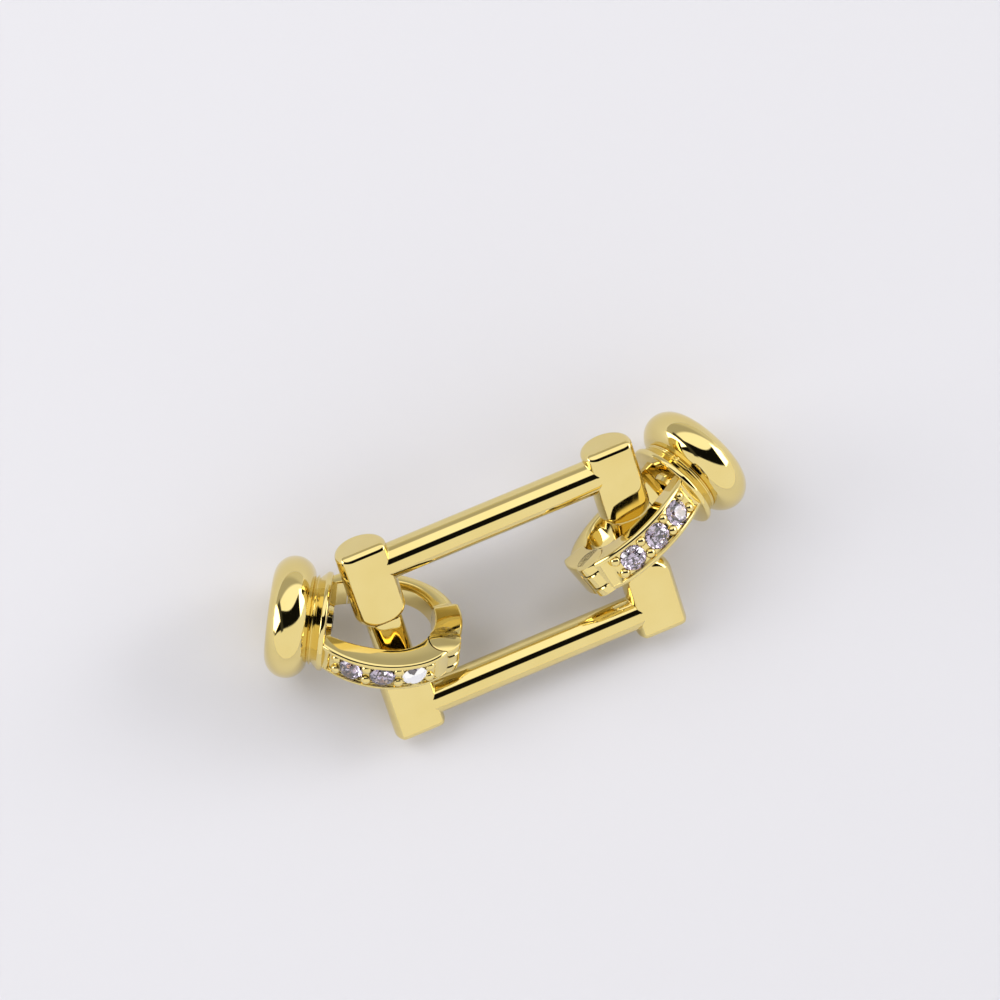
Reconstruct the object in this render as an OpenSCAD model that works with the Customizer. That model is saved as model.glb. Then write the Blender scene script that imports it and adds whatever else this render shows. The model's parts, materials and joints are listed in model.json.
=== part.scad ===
// Hinged-loop necklace clasp: a rectangular link with a D-shaped loop hung on each end post.
// Each loop carries a gate, a hinge pin, three small round stones and a round button for the strand.
// The link's own axes are x along the bars, y along the posts and z out of its front face.
// A loop's own axes are x out towards its button, y along the post and z towards its set arm.

/* [Link] */
// Length of each end post
post_length = 14.1; // [12.5:0.1:15]
// Distance between the axes of the two posts
post_spacing = 17.1; // [16:0.1:22]
// Diameter of the thick sleeves at the ends of a post
sleeve_d = 3.4; // [3:0.1:3.5]
// Depth of the flat cut along the front of each sleeve
sleeve_flat = 0.6; // [0.2:0.05:0.7]
// Diameter of the thin waist in the middle of a post
waist_d = 2.4; // [1.6:0.1:2.6]
// Depth of the flat cut along the front of the waist
waist_flat = 0.34; // [0.1:0.02:0.4]
// Length of the waist
waist_length = 3.2; // [3:0.1:4]
// Rounding of the inner ends of the lower sleeves
dome_round = 1.4; // [1.2:0.05:1.5]
// Rounding of the inner ends of the upper sleeves
upper_round = 0.85; // [0.5:0.05:1.4]
// Diameter of the two long bars
bar_d = 2.3; // [1.8:0.1:2.4]
// Distance between the axes of the two bars
bar_spacing = 10.4; // [9.9:0.1:10.8]

/* [Loops] */
// Thickness of a loop along the post
loop_thickness = 2.4; // [2.2:0.1:2.6]
// Greatest width of a loop across its two arms
loop_width = 8.2; // [8:0.1:9]
// Radius of the long outer curve of each arm
arm_curve_r = 6.5; // [5.8:0.1:8]
// Width of an arm, seen from above
arm_width = 1.4; // [1.3:0.05:1.5]
// Distance from the post's axis in to the loop's far end
loop_far = 4.6; // [4.5:0.1:5]
// Radius of the long curves of the hole
hole_curve_r = 10; // [8:0.5:14]
// Distance of the hole's middle from the loop's, away from the set arm
hole_shift = 0.14; // [0:0.02:0.2]
// Distance from the post's axis in to the far end of the hole
hole_far = 2.8; // [2.6:0.05:2.9]
// Distance from the post's axis out to the flat wall of the hole
hole_near = 3.7; // [3.4:0.05:3.75]

/* [Buttons] */
// Distance from the post's axis out to the flange
flange_x = 4; // [3.8:0.05:4.1]
// Diameter of the flange
flange_d = 6.4; // [6.2:0.1:6.8]
// Thickness of the flange
flange_t = 0.75; // [0.7:0.05:0.9]
// Rounding of the flange's edge towards the button
flange_round = 0.35; // [0.1:0.05:0.35]
// Width of the groove between flange and button
groove_w = 0.3; // [0.2:0.05:0.5]
// Diameter at the bottom of the groove
groove_d = 5.6; // [5:0.1:5.8]
// Diameter of the button
button_d = 7.9; // [7.4:0.1:8]
// Thickness of the button
button_t = 2.75; // [2.4:0.05:3]
// Diameter of the hole for the strand
strand_hole_d = 1.2; // [0.8:0.1:1.6]

/* [Gates] */
// Distance from the post's axis in to the hinge
hinge_in = 3.6; // [3.5:0.05:3.65]
// Distance of the hinge towards the set arm
hinge_front = 1.1; // [0.9:0.1:1.3]
// Diameter of the hinge knuckle
knuckle_d = 2.1; // [2:0.05:2.2]
// Thickness of the tongue between the gate's two cheeks
tongue_t = 1.0; // [0.8:0.1:1.2]
// Diameter of the hinge pin
pin_d = 0.7; // [0.5:0.05:0.8]
// Distance from the post's axis out to the gate's free end
gate_end = 3.0; // [2.8:0.05:3.1]

/* [Stones] */
// Diameter of a stone
stone_d = 1.7; // [1.5:0.05:1.75]
// Distance from the post's axis out to the middle stone
stone_middle = 0.05; // [-0.1:0.05:0.4]
// Distance from one stone to the next along the arm
stone_pitch = 2.15; // [2.1:0.05:2.25]
// Depth of the channel that the stones sit in
channel_depth = 0.22; // [0.15:0.01:0.3]
// Width of the rim on each side of the channel
rim_w = 0.3; // [0.2:0.05:0.35]
// Diameter of the grains that hold the stones
grain_d = 0.54; // [0.4:0.02:0.56]

/* [Pose] */
// Lean of the link from lying flat
link_lean = 30; // [28:0.5:34]
// Tilt of the left loop up its post
left_tilt = 22; // [12:0.5:22]
// Tilt of the right loop up its post
right_tilt = 17; // [10:0.5:20]
// Roll of the left loop about its own axis
left_roll = 20; // [10:0.5:20]
// Roll of the right loop about its own axis
right_roll = -14; // [-16:0.5:0]
// Slide of the left loop back from the post
left_slide = -0.5; // [-0.65:0.05:0]
// Slide of the right loop back from the post
right_slide = -0.4; // [-0.8:0.05:0]
// Shift of the left loop along its post
left_shift = 0.2; // [0:0.05:0.2]
// Shift of the right loop along its post
right_shift = 0.35; // [0:0.05:0.7]

/* [Hidden] */
$fn = 96;

// Gap between pieces that don't move on each other
small_gap = 0.02;
// Gap between the gate and the loop
gate_gap = 0.06;
// Radial gap between the hinge pin and its bores
pin_gap = 0.02;
// Metal left over each end of the hinge pin
pin_cover = 0.2;
// Rounding of the outer ends of the sleeves
end_round = 0.42;
// Rib at the bottom of the groove
rib_w = 0.14;
rib_h = 0.15;
// Metal left between the stones' channel and the flange
channel_stop = 0.25;
// How far one shape runs past another that it cuts or joins
over = 0.1;
far = 20;

sleeve_r = sleeve_d / 2;
button_x = flange_x + flange_t + groove_w;
button_end = button_x + button_t;
button_mid = button_x + button_t / 2;

// An arm's long curve is centred on this x, and its far end is closed by a tangent arc
arm_curve_x = 0.4;
function end_arc_x(r, half_w, far_x) =
  (pow(r - far_x, 2) - pow(arm_curve_x, 2) - pow(r - half_w, 2)) / (2 * (r - far_x - arm_curve_x));

// Angles on the long curve of the set arm
pitch_angle = stone_pitch / arm_curve_r * 180 / PI;
middle_angle = asin((stone_middle - arm_curve_x) / arm_curve_r);
channel_near_angle = asin((flange_x - channel_stop - arm_curve_x) / arm_curve_r);
channel_far_angle = 1.75 * pitch_angle - middle_angle;
curve_z = loop_width / 2 - arm_curve_r;
seat_r = arm_curve_r - channel_depth;

// Proportions of a cut stone, as shares of its diameter
table_share = 0.56;
crown_share = 0.17;
pavilion_share = 0.43;
girdle_share = 0.04;
seat_depth = stone_d * (pavilion_share + girdle_share) + 0.08;

// Direction of a loop's axis and of its set arm, in the link's own axes
function loop_axis(swing, tilt) =
  [cos(tilt) * cos(swing), sin(tilt), -cos(tilt) * sin(swing)];
function set_arm_axis(swing, tilt, roll) =
  let (x = sin(roll) * sin(tilt), z = cos(roll))
  [x * cos(swing) + z * sin(swing), -sin(roll) * cos(tilt), z * cos(swing) - x * sin(swing)];
function height_of(v) = v[1] * sin(link_lean) + v[2] * cos(link_lean);

// Height of the posts' middle when the lower sleeves stand on the floor
link_height = (post_length / 2 - end_round) * sin(link_lean)
  + (sleeve_r - end_round) * cos(link_lean) + end_round;
// How far a button reaches from the middle of its post along one direction of the room,
// from the shares of that direction in the loop's axis, in its set arm's and in the post's
function button_reach(axis_share, arm_share, post_share, slide, shift) =
  button_mid * axis_share + slide * arm_share + shift * post_share
  + (button_d - button_t) / 2 * sqrt(1 - axis_share * axis_share) + button_t / 2;
function depth_of(v) = v[1] * cos(link_lean) - v[2] * sin(link_lean);

// Height of a button's lowest point, and the swing that brings it down to the floor
function button_low(swing, tilt, roll, slide, shift) =
  link_height - button_reach(-height_of(loop_axis(swing, tilt)),
    -height_of(set_arm_axis(swing, tilt, roll)), -sin(link_lean), slide, shift);
function rest_swing(tilt, roll, slide, shift, low = 0, high = 40, steps = 30) =
  let (middle = (low + high) / 2)
  steps == 0 ? middle
  : button_low(middle, tilt, roll, slide, shift) > 0
    ? rest_swing(tilt, roll, slide, shift, middle, high, steps - 1)
    : rest_swing(tilt, roll, slide, shift, low, middle, steps - 1);
left_swing = rest_swing(left_tilt, left_roll, left_slide, left_shift);
right_swing = rest_swing(right_tilt, right_roll, right_slide, right_shift);

// The clasp is centred between its two buttons, and between the lower sleeves and what reaches back
left_axis = loop_axis(left_swing, left_tilt);
left_arm = set_arm_axis(left_swing, left_tilt, left_roll);
right_axis = loop_axis(right_swing, right_tilt);
right_arm = set_arm_axis(right_swing, right_tilt, right_roll);
link_x = (button_reach(left_axis[0], left_arm[0], 0, left_slide, left_shift)
  - button_reach(right_axis[0], right_arm[0], 0, right_slide, right_shift)) / 2;
front_reach = post_length / 2 * cos(link_lean) + (sleeve_r - sleeve_flat) * sin(link_lean);
sleeve_back = (post_length / 2 - end_round) * cos(link_lean)
  + (sleeve_r - end_round) * sin(link_lean) + end_round;
left_back = button_reach(depth_of(left_axis), depth_of(left_arm), cos(link_lean), left_slide, left_shift);
right_back = button_reach(depth_of(right_axis), depth_of(right_arm), cos(link_lean), right_slide, right_shift);
link_y = (front_reach - max(sleeve_back, left_back, right_back)) / 2;

gold = "#e2c661";
gold_dark = "#c9a544";
crystal = "#cfc6d2";

// Puts a shape from the link's own axes where the clasp rests on the floor
module leaned() {
  translate([link_x, link_y, link_height]) rotate([link_lean, 0, 0]) children();
}

// Puts a shape from a loop's own axes round its post
module on_post(side) {
  swing = side < 0 ? left_swing : right_swing;
  tilt = side < 0 ? left_tilt : right_tilt;
  roll = side < 0 ? left_roll : right_roll;
  slide = side < 0 ? left_slide : right_slide;
  shift = side < 0 ? left_shift : right_shift;
  leaned() translate([side * post_spacing / 2, shift, 0]) mirror([side < 0 ? 1 : 0, 0, 0])
    rotate([0, swing, 0]) rotate([0, 0, tilt]) rotate([roll, 0, 0])
    translate([0, 0, slide]) children();
}

// Half section of a turned piece of height h with its top edge rounded
module turned_section(r, h, round) {
  square([r - round, h]);
  square([r, h - round]);
  translate([r - round, h - round]) circle(round);
}

// Half of a post: the waist, and a sleeve with a domed inner end and a rounded outer end
module half_post(round) {
  dome_end = waist_length / 2 + round;
  rotate([-90, 0, 0]) rotate_extrude() {
    square([waist_d / 2, post_length / 2 - end_round]);
    intersection() {
      translate([sleeve_r - round, dome_end]) circle(round);
      square([sleeve_r, dome_end]);
    }
    translate([0, dome_end]) turned_section(sleeve_r, post_length / 2 - dome_end, end_round);
  }
}

// What is cut away along a post's front between two places on it
module flat_cut(start, end, height) {
  translate([-sleeve_r, start, height]) cube([sleeve_d, end - start, sleeve_d]);
}

module link() {
  waist_end = waist_length / 2;
  color(gold) leaned() difference() {
    union() {
      for (side = [-1, 1]) translate([side * post_spacing / 2, 0, 0]) {
        half_post(upper_round);
        mirror([0, 1, 0]) half_post(dome_round);
      }
      for (side = [-1, 1]) translate([-post_spacing / 2, side * bar_spacing / 2, 0])
        rotate([0, 90, 0]) cylinder(d = bar_d, h = post_spacing);
    }
    for (side = [-1, 1]) translate([side * post_spacing / 2, 0, 0]) {
      flat_cut(waist_end, post_length, sleeve_r - sleeve_flat);
      flat_cut(-waist_end, waist_end, waist_d / 2 - waist_flat);
      flat_cut(-post_length, -waist_end, sleeve_r - sleeve_flat);
    }
  }
}

// Outline of a loop or of its hole: two long curves, a tangent round far end and a flat near end
module arch(r, half_w, far_x, near_x) {
  arc_x = end_arc_x(r, half_w, far_x);
  arc_r = arc_x + far_x;
  // The long curves meet the end arc at this x
  meet_x = arm_curve_x - r * (arm_curve_x - arc_x) / (r - arc_r);
  intersection() {
    translate([arm_curve_x, half_w - r]) circle(r);
    translate([arm_curve_x, r - half_w]) circle(r);
    translate([meet_x, -far / 2]) square([near_x - meet_x, far]);
  }
  intersection() {
    translate([arc_x, 0]) circle(arc_r);
    translate([meet_x - far, -far / 2]) square([far + small_gap, far]);
  }
}

// The whole ring of loop and gate together, flat in x and y
module ring_outline() {
  difference() {
    arch(arm_curve_r, loop_width / 2, loop_far, flange_x + over);
    translate([0, -hole_shift]) arch(hole_curve_r, loop_width / 2 - arm_width, hole_far, hole_near);
  }
}

// Turns a shape drawn flat in x and y into a loop's own axes
module upright() {
  rotate([90, 0, 0]) children();
}

// The part of the ring that the gate makes, grown by a gap for cutting it out of the loop
module gate_share(gap) {
  translate([-far + gate_end + gap, -far + hinge_front + gap])
    square([far, far]);
}

module at_hinge() {
  translate([-hinge_in, hinge_front, 0]) children();
}

// Flange, groove with its rib, and button, along x
module button_turning() {
  groove_x = flange_x + flange_t;
  rotate([0, 90, 0]) {
    translate([0, 0, flange_x - over]) rotate_extrude()
      turned_section(flange_d / 2, flange_t + over, flange_round);
    translate([0, 0, groove_x - over]) cylinder(d = groove_d, h = groove_w + 2 * over);
    translate([0, 0, groove_x + (groove_w - rib_w) / 2])
      cylinder(d = groove_d + 2 * rib_h, h = rib_w);
    translate([0, 0, button_x]) rotate_extrude() {
      square([(button_d - button_t) / 2, button_t]);
      translate([(button_d - button_t) / 2, button_t / 2]) circle(d = button_t);
    }
  }
}

// Puts a shape on the set arm's curve, its z out of the arm, some steps along from the middle stone
module on_set_arm(step, r) {
  translate([arm_curve_x, 0, curve_z]) rotate([0, middle_angle + step * pitch_angle, 0])
    translate([0, 0, r]) children();
}

// Channel for the stones, cut between two rims
module channel() {
  cut_w = loop_thickness - 2 * rim_w;
  upright() translate([arm_curve_x, curve_z, -cut_w / 2]) linear_extrude(cut_w) difference() {
    intersection() {
      circle(arm_curve_r + over);
      polygon([[0, 0],
        [far * sin(channel_near_angle), far * cos(channel_near_angle)],
        [-far * sin(channel_far_angle), far * cos(channel_far_angle)]]);
    }
    circle(seat_r);
  }
}

module grains() {
  grain_y = 0.42;
  for (step = [-1.5, -0.5, 0.5, 1.5], side = [-1, 1])
    on_set_arm(step, seat_r) translate([0, side * grain_y, 0]) sphere(d = grain_d, $fn = 24);
}

module loop_body() {
  color(gold) difference() {
    union() {
      difference() {
        upright() difference() {
          linear_extrude(loop_thickness, center = true) ring_outline();
          linear_extrude(far, center = true) gate_share(gate_gap);
          for (side = [-1, 1]) at_hinge() translate([0, 0, side * (tongue_t + far) / 2])
            cylinder(d = knuckle_d + 2 * gate_gap, h = far, center = true);
        }
        channel();
      }
      upright() at_hinge() cylinder(d = knuckle_d, h = tongue_t, center = true);
      button_turning();
      grains();
    }
    upright() at_hinge()
      cylinder(d = pin_d + 2 * pin_gap, h = loop_thickness, center = true);
    for (step = [-1:1]) on_set_arm(step, seat_r - seat_depth)
      cylinder(d = stone_d + 2 * small_gap, h = seat_depth + channel_depth + over);
    rotate([0, 90, 0]) cylinder(d = strand_hole_d, h = button_end + over);
  }
}

module gate_body() {
  color(gold) upright() difference() {
    union() {
      linear_extrude(loop_thickness, center = true) intersection() {
        ring_outline();
        gate_share(0);
      }
      at_hinge() cylinder(d = knuckle_d, h = loop_thickness, center = true);
    }
    at_hinge() cylinder(d = knuckle_d + 2 * gate_gap, h = tongue_t + 2 * gate_gap, center = true);
    at_hinge() cylinder(d = pin_d + 2 * pin_gap, h = loop_thickness - 2 * pin_cover, center = true);
  }
}

module pin_body() {
  color(gold_dark) upright() at_hinge()
    cylinder(d = pin_d, h = loop_thickness - 2 * pin_cover - 2 * small_gap, center = true);
}

// A round stone with an eight-sided crown, table and pavilion, its girdle just above z = 0
module stone_body(step) {
  girdle_h = stone_d * girdle_share;
  color(crystal) on_set_arm(step, seat_r) {
    cylinder(d = stone_d, h = girdle_h, $fn = 8);
    translate([0, 0, girdle_h])
      cylinder(d1 = stone_d, d2 = stone_d * table_share, h = stone_d * crown_share, $fn = 8);
    translate([0, 0, -stone_d * pavilion_share])
      cylinder(d1 = 0, d2 = stone_d, h = stone_d * pavilion_share, $fn = 8);
  }
}

link();
on_post(-1) loop_body();  // left_loop
on_post(-1) gate_body();  // left_gate
on_post(-1) pin_body();  // left_hinge_pin
on_post(-1) stone_body(1);  // left_stone_1
on_post(-1) stone_body(0);  // left_stone_2
on_post(-1) stone_body(-1);  // left_stone_3
on_post(1) loop_body();  // right_loop
on_post(1) gate_body();  // right_gate
on_post(1) pin_body();  // right_hinge_pin
on_post(1) stone_body(1);  // right_stone_1
on_post(1) stone_body(0);  // right_stone_2
on_post(1) stone_body(-1);  // right_stone_3
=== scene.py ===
import json
import math

import bmesh
import bpy
from mathutils import Matrix, Vector


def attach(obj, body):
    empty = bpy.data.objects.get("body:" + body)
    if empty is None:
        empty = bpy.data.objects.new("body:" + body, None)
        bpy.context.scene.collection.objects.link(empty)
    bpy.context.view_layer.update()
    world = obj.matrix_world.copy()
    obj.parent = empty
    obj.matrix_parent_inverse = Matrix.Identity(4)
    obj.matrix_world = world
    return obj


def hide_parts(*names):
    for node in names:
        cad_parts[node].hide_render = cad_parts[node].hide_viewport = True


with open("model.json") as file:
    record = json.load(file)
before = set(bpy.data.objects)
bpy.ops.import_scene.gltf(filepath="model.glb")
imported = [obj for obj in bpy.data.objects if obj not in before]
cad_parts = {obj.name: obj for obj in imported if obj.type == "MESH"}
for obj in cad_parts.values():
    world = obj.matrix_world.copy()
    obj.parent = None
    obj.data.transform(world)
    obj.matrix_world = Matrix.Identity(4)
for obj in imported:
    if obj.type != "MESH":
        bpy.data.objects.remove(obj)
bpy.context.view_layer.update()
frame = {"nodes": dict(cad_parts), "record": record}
scene = bpy.context.scene
mm = 0.001
joints = {j["name"]: j for j in frame["record"]["behaviour"]["joints"]}
mounts = {m["name"]: m for m in frame["record"]["mounts"]}
print("frame loaded")


# ---- camera, nearly straight down on the clasp as in the photograph
cameraView = {
    "location": (-54.184, -7.154, 396.249),  # mm
    "target": (1.9818, 5.2623, 0.366),  # mm
    "upward": (0.38127924, 0.92189756, 0.0687825),
    "lens": 221.55,
}


def makeCamera(view):
    data = bpy.data.cameras.new("photoCamera")
    data.lens = view["lens"]
    data.sensor_width = 36
    data.clip_start = 0.01
    data.clip_end = 20
    camera = bpy.data.objects.new("photoCamera", data)
    scene.collection.objects.link(camera)
    place = Vector(view["location"]) * mm
    back = (place - Vector(view["target"]) * mm).normalized()
    right = Vector(view["upward"]).cross(back).normalized()
    turn = Matrix((right, back.cross(right), back)).transposed().to_4x4()
    camera.matrix_world = Matrix.Translation(place) @ turn
    scene.camera = camera


makeCamera(cameraView)
print("camera placed")


# ---- small helpers for meshes

def placeOf(x, y, z, origin):
    # columns are a piece's own axes in the room, and its own lengths are millimetres
    turn = Matrix((x, y, z)).transposed().to_4x4()
    return Matrix.Translation(origin) @ turn @ Matrix.Scale(mm, 4)


def loft(bm, rings):
    # the first ring is extruded on from ring to ring, and both ends are closed
    verts = bmesh.ops.create_circle(bm, segments=len(rings[0]), radius=1.0)["verts"]
    edges = list({e for v in verts for e in v.link_edges})
    for v, p in zip(verts, rings[0]):
        v.co = p
    ends = [edges]
    for ring in rings[1:]:
        geom = bmesh.ops.extrude_edge_only(bm, edges=edges)["geom"]
        fresh = {g for g in geom if isinstance(g, bmesh.types.BMVert)}
        edges = [g for g in geom if isinstance(g, bmesh.types.BMEdge)
                 and g.verts[0] in fresh and g.verts[1] in fresh]
        verts = [next(e.other_vert(v) for e in v.link_edges if e.other_vert(v) in fresh) for v in verts]
        for v, p in zip(verts, ring):
            v.co = p
    ends.append(edges)
    for end in ends:
        bmesh.ops.contextual_create(bm, geom=end)


def spun(bm, profile, axis, steps):
    # a closed profile of points (along, radius) turned right round the axis
    side, along = Vector((0, 0, 1)), Vector(axis)
    verts = [bm.verts.new(along * a + side * r) for a, r in profile]
    edges = [bm.edges.new((verts[i - 1], verts[i])) for i in range(len(verts))]
    # an edge that lies on the axis itself isn't turned
    edges = [e for e in edges if any((v.co - along * v.co.dot(along)).length >= 1e-6 for v in e.verts)]
    bmesh.ops.spin(bm, geom=verts + edges, cent=(0, 0, 0), axis=axis, angle=2 * math.pi,
                   steps=steps, use_merge=True)
    loose = [e for e in bm.edges if not e.link_faces]
    bmesh.ops.delete(bm, geom=loose, context="EDGES")
    bmesh.ops.remove_doubles(bm, verts=bm.verts[:], dist=1e-4)


def shiftBy(bm, verts, offset):
    bmesh.ops.translate(bm, verts=verts, vec=offset)


def roundedOutline(corners, steps=4):
    # corners are (across, outward, radius), and each becomes a quarter arc
    points = []
    for i, (u, v, r) in enumerate(corners):
        here = Vector((u, v))
        before = Vector(corners[i - 1][:2]) - here
        after = Vector(corners[(i + 1) % len(corners)][:2]) - here
        r = min(r, before.length * 0.8, after.length * 0.8)
        a, b = before.normalized(), after.normalized()
        middle = here + (a + b) * r
        for k in range(steps + 1):
            t = math.pi / 2 * k / steps
            points.append(middle - (b * math.cos(t) + a * math.sin(t)) * r)
    return points


def meshFrom(bm, place=None):
    if place is not None:
        bm.transform(place)
    bmesh.ops.recalc_face_normals(bm, faces=bm.faces[:])
    mesh = bpy.data.meshes.new("piece")
    bm.to_mesh(mesh)
    bm.free()
    return mesh


def cutAway(mesh, cutter):
    # the cutter's space is taken out of the mesh
    body = bpy.data.objects.new("body", mesh)
    tool = bpy.data.objects.new("tool", cutter)
    for o in (body, tool):
        scene.collection.objects.link(o)
    cut = body.modifiers.new("cut", "BOOLEAN")
    cut.operation = "DIFFERENCE"
    cut.solver = "EXACT"
    cut.use_self = True
    cut.object = tool
    depsgraph = bpy.context.evaluated_depsgraph_get()
    result = bpy.data.meshes.new_from_object(body.evaluated_get(depsgraph))
    for o in (body, tool):
        bpy.data.objects.remove(o)
    return result


def joined(meshes):
    bm = bmesh.new()
    for mesh in meshes:
        bm.from_mesh(mesh)
    return bm


def finishPiece(mesh, name, material, body, nodes, sharpAngle):
    # a sharp angle of 0 leaves every facet flat
    mesh.name = name
    mesh.materials.clear()
    mesh.materials.append(material)
    piece = bpy.data.objects.new(name, mesh)
    scene.collection.objects.link(piece)
    if sharpAngle:
        mesh.shade_smooth()
        mesh.set_sharp_from_angle(angle=math.radians(sharpAngle))
        weighted = piece.modifiers.new("weightedNormals", "WEIGHTED_NORMAL")
        weighted.keep_sharp = True
        weighted.weight = 80
    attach(piece, body)
    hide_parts(*nodes)


# ---- materials

def linear(hexColour, alpha=1.0):
    parts = [int(hexColour[i:i + 2], 16) / 255 for i in (1, 3, 5)]
    return tuple(c / 12.92 if c <= 0.04045 else ((c + 0.055) / 1.055) ** 2.4 for c in parts) + (alpha,)


def addNode(tree, kind, settings=None, inputs=None):
    # an input is given as a value, or as the output that is linked to it
    node = tree.nodes.new(kind)
    for key, value in (settings or {}).items():
        setattr(node, key, value)
    for key, value in (inputs or {}).items():
        if isinstance(value, bpy.types.NodeSocket):
            tree.links.new(value, node.inputs[key])
        else:
            node.inputs[key].default_value = value
    return node


def newMaterial(name):
    material = bpy.data.materials.new(name)
    material.use_nodes = True
    material.node_tree.nodes.clear()
    return material, material.node_tree


goldLook = {
    "plate": "#ecda98",  # pale lemon plate
    "deep": "#e4ce84",  # slightly deeper where the plate is thicker
    "tintWidth": 2.6,  # mm
    "rippleWidth": 1.3,  # mm, the soft waviness left by casting and tumbling
    "rippleHeight": 0.0016,  # mm
    "haze": (0.035, 0.085),  # roughness, from buffed to slightly hazed
    "hazeWidth": 0.35,  # mm
    "hazeNoise": (0.35, 0.7),  # the part of the noise that the haze is spread over
}


# Electroplated gold over brass, tumbled and buffed: a near mirror with a soft wave in its reflections
def polishedGold(name, look):
    material, tree = newMaterial(name)
    place = addNode(tree, "ShaderNodeTexCoord").outputs["Object"]
    ripple = addNode(tree, "ShaderNodeTexNoise", None, {
        "Scale": 1 / (look["rippleWidth"] * mm), "Detail": 1.0, "Roughness": 0.4, "Vector": place})
    tint = addNode(tree, "ShaderNodeTexNoise", None, {
        "Scale": 1 / (look["tintWidth"] * mm), "Detail": 2.0, "Vector": place})
    hazeNoise = addNode(tree, "ShaderNodeTexNoise", None, {
        "Scale": 1 / (look["hazeWidth"] * mm), "Detail": 3.0, "Vector": place})
    low, high = look["hazeNoise"]
    buffed, hazed = look["haze"]
    haze = addNode(tree, "ShaderNodeMapRange", None, {
        "Value": hazeNoise.outputs["Fac"], "From Min": low, "From Max": high,
        "To Min": buffed, "To Max": hazed})
    colour = addNode(tree, "ShaderNodeMix", {"data_type": "RGBA"}, {
        "Factor": tint.outputs["Fac"], 6: linear(look["plate"]), 7: linear(look["deep"])})
    bump = addNode(tree, "ShaderNodeBump", None, {
        "Strength": 1.0, "Distance": look["rippleHeight"] * mm, "Height": ripple.outputs["Fac"]})
    metal = addNode(tree, "ShaderNodeBsdfPrincipled", None, {
        "Metallic": 1.0, "Base Color": colour.outputs[2], "Roughness": haze.outputs["Result"],
        "Normal": bump.outputs["Normal"]})
    addNode(tree, "ShaderNodeOutputMaterial", None, {"Surface": metal.outputs["BSDF"]})
    return material


stoneLook = {"body": "#ddd2e4", "bodyDeep": "#a796b6", "castWidth": 1.1, "ior": 2.16}


# Cubic zirconia, machine cut: colourless with a faint mauve cast, every facet a separate mirror
def cutZirconia(name, look):
    material, tree = newMaterial(name)
    place = addNode(tree, "ShaderNodeTexCoord").outputs["Object"]
    cast = addNode(tree, "ShaderNodeTexNoise", None, {
        "Scale": 1 / (look["castWidth"] * mm), "Detail": 1.0, "Vector": place})
    colour = addNode(tree, "ShaderNodeMix", {"data_type": "RGBA"}, {
        "Factor": cast.outputs["Fac"], 6: linear(look["body"]), 7: linear(look["bodyDeep"])})
    glass = addNode(tree, "ShaderNodeBsdfPrincipled", None, {
        "Roughness": 0.0, "IOR": look["ior"], "Transmission Weight": 1.0, "Base Color": colour.outputs[2]})
    addNode(tree, "ShaderNodeOutputMaterial", None, {"Surface": glass.outputs["BSDF"]})
    return material


gold = polishedGold("polishedGoldPlate", goldLook)
zirconia = cutZirconia("cutZirconia", stoneLook)
print("materials made")


# ---- the link: two posts with sleeves and a waist, and two bars

linkSizes = {
    "postLength": 14.1, "postSpacing": 17.1,
    "sleeveR": 1.7, "flatHeight": 1.1, "waistR": 1.2, "waistFlat": 0.86,
    "waistEnd": 1.6, "upperRound": 0.85, "lowerRound": 1.4, "endRound": 0.42,
    "flatBlend": 0.3, "flatRound": 0.22, "flatEnd": 0.62,
    "barR": 1.15, "barSpacing": 10.4, "fillet": 0.08,
    # a bar's end inside its sleeve: its distance from the post's axis, and the share of its radius there
    "barDeep": 0.55, "barDeepShare": 0.86,
    "sharpAngle": 50,
}

leftPost = Vector(joints["left_loop_swing"]["pos_m"])
rightPost = Vector(joints["right_loop_swing"]["pos_m"])
alongBars = (rightPost - leftPost).normalized()
alongPosts = Vector(joints["left_loop_swing"]["axis"]).normalized()
linkPlace = placeOf(alongBars, alongPosts, alongBars.cross(alongPosts), (leftPost + rightPost) / 2)


def softLess(a, b, blend):
    # the lesser of two lengths, with a rounded corner where they cross
    h = max(0.0, min(1.0, 0.5 + 0.5 * (b - a) / blend))
    return b * (1 - h) + a * h - blend * h * (1 - h)


def sleeveOutline(radius, flat, y, blend, segments=144):
    ring = []
    for i in range(segments):
        t = 2 * math.pi * (i + 0.5) / segments
        r = radius
        if math.cos(t) > 0.2:
            r = softLess(radius, flat / math.cos(t), blend)
        ring.append(Vector((math.sin(t) * r, y, math.cos(t) * r)))
    return ring


def halfPostRings(s, corner):
    # from the waist out to the end, its sleeve's inner end rounded by the given corner
    start, end = s["waistEnd"], s["postLength"] / 2
    rings = []
    before = 0.3  # of the waist, for the blend with the sleeve
    for i in range(46):
        y = start - before + (corner + before) * i / 45
        inside = start + corner - y
        dome = s["sleeveR"] - corner + math.sqrt(corner ** 2 - inside ** 2) if inside < corner else 0
        radius = -softLess(-s["waistR"], -dome, 0.08)
        fall = min(s["flatRound"], max(0.0, start + s["flatRound"] - y))
        flat = s["flatHeight"] - s["flatRound"] + math.sqrt(s["flatRound"] ** 2 - fall ** 2)
        rings.append(sleeveOutline(radius, -softLess(-s["waistFlat"], -flat, 0.05), y, s["flatBlend"]))
    for i in range(1, 5):
        y = start + corner + (end - s["flatEnd"] - start - corner) * i / 4
        rings.append(sleeveOutline(s["sleeveR"], s["flatHeight"], y, s["flatBlend"]))
    for i in range(1, 16):
        left = s["flatEnd"] * (1 - math.sin(math.pi / 2 * i / 15))
        rounds = (s["endRound"], s["flatEnd"])
        inset, flatInset = (r - math.sqrt(r * r - max(0.0, r - left) ** 2) for r in rounds)
        radius, flat = s["sleeveR"] - inset, s["flatHeight"] - flatInset
        rings.append(sleeveOutline(radius, flat, end - left, s["flatBlend"]))
    return rings


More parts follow.
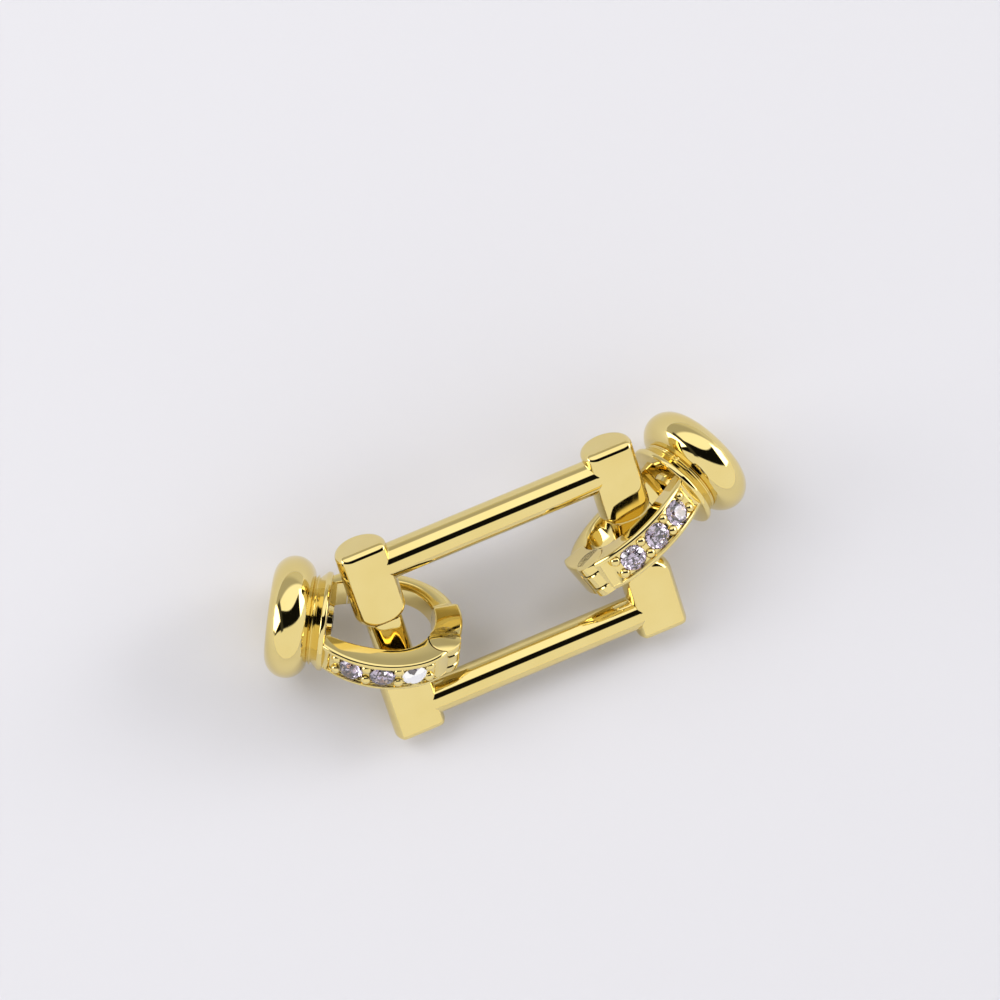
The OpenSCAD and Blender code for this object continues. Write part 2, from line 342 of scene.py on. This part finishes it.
def barRing(s, side, end, deep, swell, off):
    # a ring at a bar's end, deep inside the sleeve or following its surface
    ring = []
    for i in range(72):
        t = 2 * math.pi * i / 72
        y, z = math.sin(t), math.cos(t)
        low = max(0.0, min(1.0, (0.75 - z) / 0.5))  # the fillet fades out towards the flat
        radius = s["barR"] * (s["barDeepShare"] if deep else 1) + s["fillet"] * swell * low
        rise = min(abs(z * radius), s["flatHeight"])
        depth = s["barDeep"] if deep else math.sqrt(s["sleeveR"] ** 2 - rise ** 2) + off
        x = end * (s["postSpacing"] / 2 - depth)
        ring.append(Vector((x, y * radius + side * s["barSpacing"] / 2, z * radius)))
    return ring


def makeLink(s):
    bm = bmesh.new()
    upper = halfPostRings(s, s["upperRound"])
    lower = halfPostRings(s, s["lowerRound"])[::-1]
    lower = [[Vector((p.x, -p.y, p.z)) for p in ring] for ring in lower]
    for side in (-1, 1):
        offset = Vector((side * s["postSpacing"] / 2, 0, 0))
        loft(bm, [[p + offset for p in ring] for ring in lower + upper])
    for side in (-1, 1):
        rings = []
        for end, order in ((-1, 1), (1, -1)):
            part = [(True, 0, 0)]
            for k in range(6):
                t = math.pi / 2 * k / 5
                part.append((False, 1 - math.sin(t), s["fillet"] * (1 - math.cos(t))))
            rings += [barRing(s, side, end, *values) for values in part[::order]]
        loft(bm, rings)
    mesh = meshFrom(bm, linkPlace)
    finishPiece(mesh, "linkFrame", gold, "link", ["link"], s["sharpAngle"])


makeLink(linkSizes)
print("link made")


# ---- the loops and their gates

ringSizes = {
    "armCurve": 6.5, "holeCurve": 10.0, "halfWidth": 4.1, "holeHalf": 2.7,
    "far": 4.6, "holeFar": 2.8, "curveX": 0.4, "holeShift": 0.14, "halfThick": 1.2,
    "holeNear": 3.7, "gateEnd": 3.0, "gap": 0.06,
    "hingeIn": 3.6, "hingeFront": 1.1, "knuckleR": 1.05, "tongueHalf": 0.5,
    "pinR": 0.37, "pinHalf": 1.0,
    "outerEdge": 0.24, "innerEdge": 0.14,
    # x where the outlines of the arms begin, hidden inside the flange
    "outerStart": 4.7, "holeStart": 3.74, "stubStart": 4.65,
    "blockEnd": -1.8, "blockBlend": 0.3, "slimStart": 2.7, "slimBlend": 0.5,
    "armInset": 0.16, "armDrop": 0.1, "armInnerRound": 0.3, "armOuterRound": 0.42, "blockSharper": 0.06,
    "rimWidth": 0.34, "rimEdge": 0.26, "channelDepth": 0.22, "channelNear": 3.75,
    "channelFarAngle": 36.25, "channelRamp": 0.09, "channelRest": 0.012, "channelEdge": 0.07,
    "stoneMiddle": 0.05, "stonePitch": 2.15, "stoneR": 0.85, "seatDepth": 0.88, "seatPlay": 0.02,
    "seatOpen": 0.4,  # height above the seat that the cutter reaches
    "grainR": 0.35, "grainRise": 0.8, "grainAcross": 0.52, "grainLift": 0.02,
    "knuckleEase": 0.07, "knuckleCap": [(0.12, 0), (0.03, 0.04), (0, 0.13)],  # back from the end, and down
    "sharpAngle": 38,
}

buttonSizes = {
    "flangeX": 4.0, "flangeR": 3.2, "grooveR": 2.72,
    "ribX": 4.9, "ribR": 2.9, "ribHalf": 0.07, "ribFoot": 0.06, "grooveLift": 0.02,
    "tubeX": 6.425, "tubeR": 1.375, "tubeCentreR": 2.575, "boreR": 0.6,
    "neckR": (1.1, 1.18),  # hidden inside the arms' near ends
    # the flange's rounded edge: along from its face, and down from its radius
    "flangeEdge": [(0, 0.14), (0.03, 0.06), (0.09, 0.015), (0.17, 0),
                   (0.27, 0), (0.34, 0.02), (0.39, 0.06)],
    "boreEdge": [(0, 0.15), (0.04, 0.04), (0.15, 0)],
}


def loopPlace(name, side):
    mount = mounts[name + "_strand_hole"]
    x = Vector(mount["axis"]).normalized()
    y = Vector(joints[name + "_gate_hinge"]["axis"]).normalized() * side
    b = buttonSizes
    holeMiddle = (ringSizes["holeNear"] + b["tubeX"] + b["tubeR"]) / 2
    return placeOf(x, y, x.cross(y) * side, Vector(mount["pos_m"]) - x * holeMiddle * mm)


def halfOutline(s, radius, half, far, startX, steps=160):
    # one side of the ring's outline, from startX round to the middle of the far end
    squares = (radius - far) ** 2 - s["curveX"] ** 2 - (radius - half) ** 2
    endX = squares / (2 * (radius - far - s["curveX"]))
    endR = endX + far
    meetX = s["curveX"] - radius * (s["curveX"] - endX) / (radius - endR)
    points = []
    for i in range(steps + 1):
        x = startX + (meetX - startX) * i / steps
        points.append(Vector((x, half - radius + math.sqrt(radius ** 2 - (x - s["curveX"]) ** 2))))
    turn = math.atan2(points[-1].y, meetX - endX)
    for i in range(1, steps + 1):
        t = turn + (math.pi - turn) * i / steps
        points.append(Vector((endX + endR * math.cos(t), endR * math.sin(t))))
    return points


def moved(points, side, lift):
    # an outline on one side of the loop, moved along the loop's height
    return [Vector((p.x, side * p.y + lift)) for p in points]


def cutAtHeight(points, height):
    kept = [points[0]]
    for a, b in zip(points, points[1:]):
        if a.x < 0 and b.y < height:
            kept.append(a.lerp(b, (a.y - height) / (a.y - b.y)))
            return kept
        kept.append(b)
    return kept


def walker(points):
    # returns a function from a share of the length to a point
    lengths = [0.0]
    for a, b in zip(points, points[1:]):
        lengths.append(lengths[-1] + (b - a).length)

    def at(share):
        want = share * lengths[-1]
        for i in range(1, len(lengths)):
            if lengths[i] >= want - 1e-9:
                part = (want - lengths[i - 1]) / max(1e-9, lengths[i] - lengths[i - 1])
                return points[i - 1].lerp(points[i], part)
        return points[-1]
    return at


def armRings(outer, inner, sectionOf, shares):
    rings = []
    outerAt, innerAt = walker(outer), walker(inner)
    for share in shares:
        o, i = outerAt(share), innerAt(share)
        thick = (o - i).length
        out = (o - i) / thick
        rings.append([Vector((i.x + out.x * v, u, i.y + out.y * v)) for u, v in sectionOf(thick, o)])
    return rings


def plainSection(s):
    h = s["halfThick"]

    def section(thick, outerPoint):
        # the same all along, wherever the outer point is
        return roundedOutline([(-h, 0, s["innerEdge"]), (h, 0, s["innerEdge"]),
                               (h, thick, s["outerEdge"]), (-h, thick, s["outerEdge"])])
    return section


def gateSection(s):
    h = s["halfThick"]

    def section(thick, outerPoint):
        # a square block beside the hinge, then a slimmer rounded arm, and square again at its free end
        slim = max(0.0, min(1.0, (s["blockEnd"] - outerPoint.y) / s["blockBlend"]))
        slim *= max(0.0, min(1.0, (s["slimStart"] - outerPoint.x) / s["slimBlend"]))
        slim = slim * slim * (3 - 2 * slim)
        across = h - s["armInset"] * slim
        top = thick - s["armDrop"] * slim
        inner = s["innerEdge"] + s["armInnerRound"] * slim
        outer = s["outerEdge"] - s["blockSharper"] + s["armOuterRound"] * slim
        return roundedOutline([(-across, 0, inner), (across, 0, inner),
                               (across, top, outer), (-across, top, outer)])
    return section


def channelFarX(s):
    return s["curveX"] - s["armCurve"] * math.sin(math.radians(s["channelFarAngle"]))


def channelShare(s, x):
    # 1 inside the stones' channel, 0 beyond its square ends
    fromFar, fromNear = x - channelFarX(s), s["channelNear"] - x
    return max(0.0, min(1.0, fromFar / s["channelRamp"])) * max(0.0, min(1.0, fromNear / s["channelRamp"]))


def channelSection(s):
    h = s["halfThick"]
    c = h - s["rimWidth"]

    def section(thick, outerPoint):
        depth = max(s["channelRest"], s["channelDepth"] * channelShare(s, outerPoint.x))
        edge, floor = min(s["channelEdge"], depth * 0.45), thick - depth
        return roundedOutline([(-h, 0, s["innerEdge"]), (h, 0, s["innerEdge"]),
                               (h, thick, s["rimEdge"]), (c, thick, edge), (c, floor, edge),
                               (-c, floor, edge), (-c, thick, edge), (-h, thick, s["rimEdge"])], 6)
    return section


def evenShares(count, extra=()):
    return sorted(set([i / count for i in range(count + 1)] + list(extra)))


def onSetArm(s, step, radius):
    # puts a shape drawn round the origin, outward +z, some steps along from the middle stone
    lift = s["halfWidth"] - s["armCurve"]
    angle = math.asin((s["stoneMiddle"] - s["curveX"]) / s["armCurve"])
    angle += step * s["stonePitch"] / s["armCurve"]
    return (Matrix.Translation((s["curveX"], 0, lift)) @ Matrix.Rotation(angle, 4, "Y")
            @ Matrix.Translation((0, 0, radius)))


def frontArm(s):
    stop = s["hingeFront"] + s["gap"]
    outer = cutAtHeight(halfOutline(s, s["armCurve"], s["halfWidth"], s["far"], s["outerStart"]), stop)
    hole = halfOutline(s, s["holeCurve"], s["holeHalf"], s["holeFar"], s["holeStart"])
    inner = cutAtHeight(moved(hole, 1, -s["holeShift"]), stop)
    # sections stand close together where the channel's square ends begin and stop
    at = walker(outer)
    farX, nearX, ramp = channelFarX(s), s["channelNear"], s["channelRamp"]
    extra = []
    count, close = 4000, 0.0016
    for i in range(count):
        x = at(i / count).x
        for edge in (farX, farX + ramp, nearX, nearX - ramp):
            if abs(x - edge) < close:
                extra.append(i / count)
    bm = bmesh.new()
    loft(bm, armRings(outer, inner, channelSection(s), evenShares(72, extra)))
    mesh = meshFrom(bm)
    # the cheeks of the gate's hinge, the pin and the three seats are taken out
    tool = bmesh.new()
    t, r, pin = s["tongueHalf"], s["knuckleR"] + s["gap"], s["pinR"]
    cheeks = [(-2, 0), (-2, r), (-t, r), (-t, pin), (t, pin), (t, r), (2, r), (2, 0)]
    spun(tool, cheeks, (0, 1, 0), 64)
    shiftBy(tool, tool.verts[:], (-s["hingeIn"], 0, s["hingeFront"]))
    seatR, deep, wide = s["armCurve"] - s["channelDepth"], s["seatDepth"], s["stoneR"] + s["seatPlay"]
    for step in (-1, 0, 1):
        place = onSetArm(s, step, seatR)
        bmesh.ops.create_cone(tool, cap_ends=True, segments=48, radius1=s["stoneR"] * 0.5, radius2=wide,
                              depth=deep, matrix=place @ Matrix.Translation((0, 0, -deep / 2)))
        lift = s["seatOpen"] / 2 - 0.001
        bmesh.ops.create_cone(tool, cap_ends=True, segments=48, radius1=wide, radius2=s["stoneR"] + 0.05,
                              depth=s["seatOpen"], matrix=place @ Matrix.Translation((0, 0, lift)))
    return cutAway(mesh, meshFrom(tool))


def gateArm(s):
    front = s["hingeFront"]
    outerHalf = halfOutline(s, s["armCurve"], s["halfWidth"], s["far"], s["gateEnd"])
    innerHalf = halfOutline(s, s["holeCurve"], s["holeHalf"], s["holeFar"], s["gateEnd"])

    def roundTo(points, lift):
        ahead = moved(points, 1, lift)
        beyond = cutAtHeight(ahead, front)
        return moved(points, -1, lift) + ahead[len(beyond) - 1:][::-1][1:] + [beyond[-1]]
    outer, inner = roundTo(outerHalf, 0), roundTo(innerHalf, -s["holeShift"])
    bm = bmesh.new()
    loft(bm, armRings(outer, inner, gateSection(s), evenShares(110)))
    mesh = meshFrom(bm)
    tool = bmesh.new()
    t, r = s["tongueHalf"] + s["gap"], s["knuckleR"] + s["gap"]
    end, pin = s["pinHalf"], s["pinR"]
    tongue = [(-end, 0), (-end, pin), (-t, pin), (-t, r), (t, r), (t, pin), (end, pin), (end, 0)]
    spun(tool, tongue, (0, 1, 0), 64)
    shiftBy(tool, tool.verts[:], (-s["hingeIn"], 0, front))
    return cutAway(mesh, meshFrom(tool))


def nearStub(s):
    # the short end of the back arm that stays with the loop
    start = s["gateEnd"] + s["gap"]
    sides = []
    for radius, half, far, near, lift in (
            (s["armCurve"], s["halfWidth"], s["far"], s["stubStart"], 0),
            (s["holeCurve"], s["holeHalf"], s["holeFar"], s["holeStart"], -s["holeShift"])):
        points = [p for p in halfOutline(s, radius, half, far, near) if p.x > start]
        points.append(Vector((start, half - radius + math.sqrt(radius ** 2 - (start - s["curveX"]) ** 2))))
        sides.append(moved(points, -1, lift))
    outer, inner = sides
    bm = bmesh.new()
    loft(bm, armRings(outer, inner, plainSection(s), evenShares(14)))
    return meshFrom(bm)


def knuckle(s, low, high, blind):
    # a barrel round the hinge pin between two heights across the loop, its edges eased
    r, e, p = s["knuckleR"], s["knuckleEase"], s["pinR"]
    bm = bmesh.new()
    if blind:
        sign = 1 if high > 0 else -1
        near, shut = (low, high) if sign > 0 else (high, low)
        end = sign * s["pinHalf"]
        profile = [(end, 0), (end, p), (near, p), (near, r - e), (near + sign * e, r)]
        profile += [(shut - sign * back, r - down) for back, down in s["knuckleCap"]] + [(shut, 0)]
    else:
        profile = [(low, p), (low, r - e), (low + e, r), (high - e, r), (high, r - e), (high, p)]
    spun(bm, profile, (0, 1, 0), 72)
    shiftBy(bm, bm.verts[:], (-s["hingeIn"], 0, s["hingeFront"]))
    return meshFrom(bm)


def turnedButton(b):
    inside, outside = b["neckR"]
    x, r, foot = b["flangeX"], b["flangeR"], b["grooveR"] + b["grooveLift"]
    profile = [(ringSizes["holeNear"], b["boreR"]), (ringSizes["holeNear"], inside), (x, outside)]
    profile += [(x + along, r - down) for along, down in b["flangeEdge"]]
    # the flange falls straight into the groove, with the rib standing at its bottom
    profile += [(b["ribX"] - 0.12, b["grooveR"] + 0.03), (b["ribX"] - 0.09, foot)]
    ribBase = b["grooveR"] + b["ribFoot"]
    ribRise = b["ribR"] - b["grooveR"] - b["ribFoot"]
    for i in range(7):
        t = math.pi * i / 6
        profile.append((b["ribX"] - b["ribHalf"] * math.cos(t), ribBase + ribRise * math.sin(t)))
    profile += [(b["ribX"] + 0.09, foot)]
    for i in range(40):
        t = math.radians(9 + 171 * i / 39)
        profile.append((b["tubeX"] - b["tubeR"] * math.cos(t), b["tubeCentreR"] + b["tubeR"] * math.sin(t)))
    end = b["tubeX"] + b["tubeR"]
    profile += [(end - back, b["boreR"] + wider) for back, wider in b["boreEdge"]]
    bm = bmesh.new()
    spun(bm, profile, (1, 0, 0), 144)
    return meshFrom(bm)


def grains(s):
    bm = bmesh.new()
    seatR = s["armCurve"] - s["channelDepth"]
    for step in (-1.5, -0.5, 0.5, 1.5):
        for side in (-1, 1):
            aside = Matrix.Translation((0, side * s["grainAcross"], 0))
            place = onSetArm(s, step, seatR + s["grainLift"]) @ aside
            bmesh.ops.create_icosphere(bm, subdivisions=3, radius=s["grainR"],
                                       matrix=place @ Matrix.Diagonal((1, 1, s["grainRise"], 1)))
    return meshFrom(bm)


def brilliantCut(s, size):
    # rings of points are wrapped in facets: table, crown, girdle, lower girdle and culet
    bm = bmesh.new()
    r = s["stoneR"] * size["across"]
    table, crown, girdle, pavilion = size["table"], size["crown"], size["girdle"], size["pavilion"]
    starWide, starHigh = size["star"]
    lowerWide, lowerDeep = size["lower"]
    layers = [
        (8, r * table, girdle + crown, 0),
        (8, r * starWide, girdle + crown * starHigh, 22.5),
        (16, r, girdle, 0),
        (16, r, 0, 0),
        (8, r * lowerWide, -pavilion * lowerDeep, 22.5),
    ]
    for count, radius, height, turn in layers:
        place = Matrix.Translation((0, 0, height)) @ Matrix.Rotation(math.radians(turn), 4, "Z")
        bmesh.ops.create_circle(bm, segments=count, radius=radius, matrix=place)
    culet = Matrix.Translation((0, 0, -pavilion))
    bmesh.ops.create_circle(bm, segments=6, radius=size["culet"], matrix=culet)
    bmesh.ops.convex_hull(bm, input=bm.verts[:])
    bmesh.ops.delete(bm, geom=[e for e in bm.edges if not e.link_faces], context="EDGES")
    bmesh.ops.dissolve_limit(bm, angle_limit=math.radians(0.6), verts=bm.verts[:], edges=bm.edges[:])
    return bm


stoneCut = {
    "across": 0.985, "table": 0.56, "crown": 0.289, "girdle": 0.068, "pavilion": 0.72, "culet": 0.012,
    "star": (0.80, 0.56),  # share of the radius and of the crown's height
    "lower": (0.44, 0.60),  # share of the radius and of the pavilion's depth
    "turns": [(1, 1, 11), (2, 0, 22), (3, -1, 47)],  # number, steps from the middle stone, degrees
    "sideTurn": 20,
}


def makeLoop(name, side):
    s = ringSizes
    place = loopPlace(name, side)
    parts = [frontArm(s), nearStub(s), knuckle(s, -s["tongueHalf"], s["tongueHalf"], False),
             turnedButton(buttonSizes), grains(s)]
    body = name + "_loop"
    finishPiece(meshFrom(joined(parts), place), name + "LoopRing", gold, body, [body],
                s["sharpAngle"])
    t = s["tongueHalf"] + s["gap"]
    h = s["halfThick"]
    parts = [gateArm(s), knuckle(s, t, h, True), knuckle(s, -h, -t, True)]
    gate = name + "_gate"
    finishPiece(meshFrom(joined(parts), place), name + "GateArm", gold, gate, [gate],
                s["sharpAngle"])
    for index, step, angle in stoneCut["turns"]:
        bm = brilliantCut(s, stoneCut)
        spot = onSetArm(s, step, s["armCurve"] - s["channelDepth"])
        turn = Matrix.Rotation(math.radians(angle + stoneCut["sideTurn"] * side), 4, "Z")
        mesh = meshFrom(bm, place @ spot @ turn)
        node = "%s_stone_%d" % (name, index)
        finishPiece(mesh, "%sStone%d" % (name, index), zirconia, body, [node], 0)
    pin = frame["nodes"][name + "_hinge_pin"]
    for slot in pin.material_slots:
        slot.material = gold
    print(name, "loop made")


makeLoop("left", -1)
makeLoop("right", 1)


# ---- floor and light

floorLook = {"size": 3.0, "tone": "#d7d7dd"}


def makeFloor(look):
    bm = bmesh.new()
    bmesh.ops.create_grid(bm, x_segments=1, y_segments=1, size=look["size"] / 2)
    mesh = meshFrom(bm)
    if mesh.polygons[0].normal.z < 0:
        mesh.flip_normals()
    floor = bpy.data.objects.new("floor", mesh)
    scene.collection.objects.link(floor)
    material, tree = newMaterial("matteStudioBoard")
    board = addNode(tree, "ShaderNodeBsdfPrincipled", None, {
        "Base Color": linear(look["tone"]), "Roughness": 0.7, "Specular IOR Level": 0.2})
    addNode(tree, "ShaderNodeOutputMaterial", None, {"Surface": board.outputs["BSDF"]})
    mesh.materials.append(material)


# Angles are in degrees: across runs from -90 in front over the top to 90 behind, lean from left to right
studioLook = {
    "front": 1.0,  # brightness of the white front
    # edges where the brightness changes on the way back: a, b and c of across = a + b lean + c lean^2,
    # then half the softness, and the brightness
    "edges": [
        (-24, -0.26, 0, 2.2, 0.006),  # the dark gap beside the camera
        (9, -0.24, 0.012, 2.0, 1.3),  # the round lamp behind it
        (57, -0.1, 0, 4.0, 0.5),  # the grey ceiling
        (86, -0.55, 0, 7.0, 0.72),  # the back wall
    ],
    "sides": [(-80, -86), (62, 68)],  # lean where the side walls begin
    "walls": 1.0,
    # upright strips: middle and half size in lean and in across, brightness
    "strips": [(-43, 6, 26, 44, 0.05), (-64, 15, 64, 48, 4.2), (62, 13, -2, 38, 4.2)],
    "stripSoft": 2.5,
    "light": "#fffdfb",
}


def makeStudio(look):
    world = bpy.data.worlds.new("studioTent")
    scene.world = world
    world.use_nodes = True
    tree = world.node_tree
    tree.nodes.clear()
    place = addNode(tree, "ShaderNodeTexCoord")
    split = addNode(tree, "ShaderNodeSeparateXYZ", None, {"Vector": place.outputs["Generated"]})
    x, y, z = (split.outputs[k] for k in "XYZ")
    turns = (("ARCTAN2", {0: y, 1: z}), ("ARCSINE", {0: x}))
    across, lean = (addNode(tree, "ShaderNodeMath", {"operation": "DEGREES"}, {
        0: addNode(tree, "ShaderNodeMath", {"operation": operation}, inputs).outputs[0]}).outputs[0]
        for operation, inputs in turns)
    # each step takes an angle, where the change begins and ends, and the brightness after it
    steps = []
    for a, b, c, soft, value in look["edges"]:
        slope = addNode(tree, "ShaderNodeMath", {"operation": "MULTIPLY_ADD"}, {0: lean, 1: c, 2: b})
        edge = addNode(tree, "ShaderNodeMath", {"operation": "MULTIPLY_ADD"}, {
            0: lean, 1: slope.outputs[0], 2: a})
        beyond = addNode(tree, "ShaderNodeMath", {"operation": "SUBTRACT"}, {0: across, 1: edge.outputs[0]})
        steps.append((beyond.outputs[0], -soft, soft, value))
    steps += [(lean, low, high, look["walls"]) for low, high in look["sides"]]
    for lean0, half, across0, tall, value in look["strips"]:
        gaps = []
        for angle, middle, size in ((lean, lean0, half), (across, across0, tall)):
            offset = addNode(tree, "ShaderNodeMath", {"operation": "SUBTRACT"}, {0: angle, 1: middle})
            away = addNode(tree, "ShaderNodeMath", {"operation": "ABSOLUTE"}, {0: offset.outputs[0]})
            gap = addNode(tree, "ShaderNodeMath", {"operation": "SUBTRACT"}, {0: away.outputs[0], 1: size})
            gaps.append(gap.outputs[0])
        outside = addNode(tree, "ShaderNodeMath", {"operation": "MAXIMUM"}, {0: gaps[0], 1: gaps[1]})
        steps.append((outside.outputs[0], look["stripSoft"], -look["stripSoft"], value))
    level = look["front"]
    for angle, low, high, value in steps:
        change = addNode(tree, "ShaderNodeMapRange", {"interpolation_type": "SMOOTHSTEP"}, {
            "Value": angle, "From Min": low, "From Max": high, "To Min": level, "To Max": value})
        level = change.outputs["Result"]
    back = addNode(tree, "ShaderNodeBackground", None, {"Color": linear(look["light"]), "Strength": level})
    addNode(tree, "ShaderNodeOutputWorld", None, {"Surface": back.outputs["Background"]})


def softbox(name, place, size, watts):
    data = bpy.data.lights.new(name, "AREA")
    data.shape = "RECTANGLE"
    data.size, data.size_y = size
    data.energy = watts
    box = bpy.data.objects.new(name, data)
    scene.collection.objects.link(box)
    back = Vector(place).normalized()
    box.matrix_world = Matrix.Translation(Vector(place)) @ back.to_track_quat("Z", "Y").to_matrix().to_4x4()
    box.visible_glossy = False  # the metal mirrors the tent's own strips


makeFloor(floorLook)
makeStudio(studioLook)
# places and sizes in metres, and watts
softbox("keyLeft", (-0.26, 0.24, 0.40), (0.28, 0.32), 1.0)
softbox("fillRight", (0.42, 0.02, 0.22), (0.12, 0.2), 0.3)
scene.view_settings.view_transform = "Standard"
scene.view_settings.look = "None"
print("floor and light made")
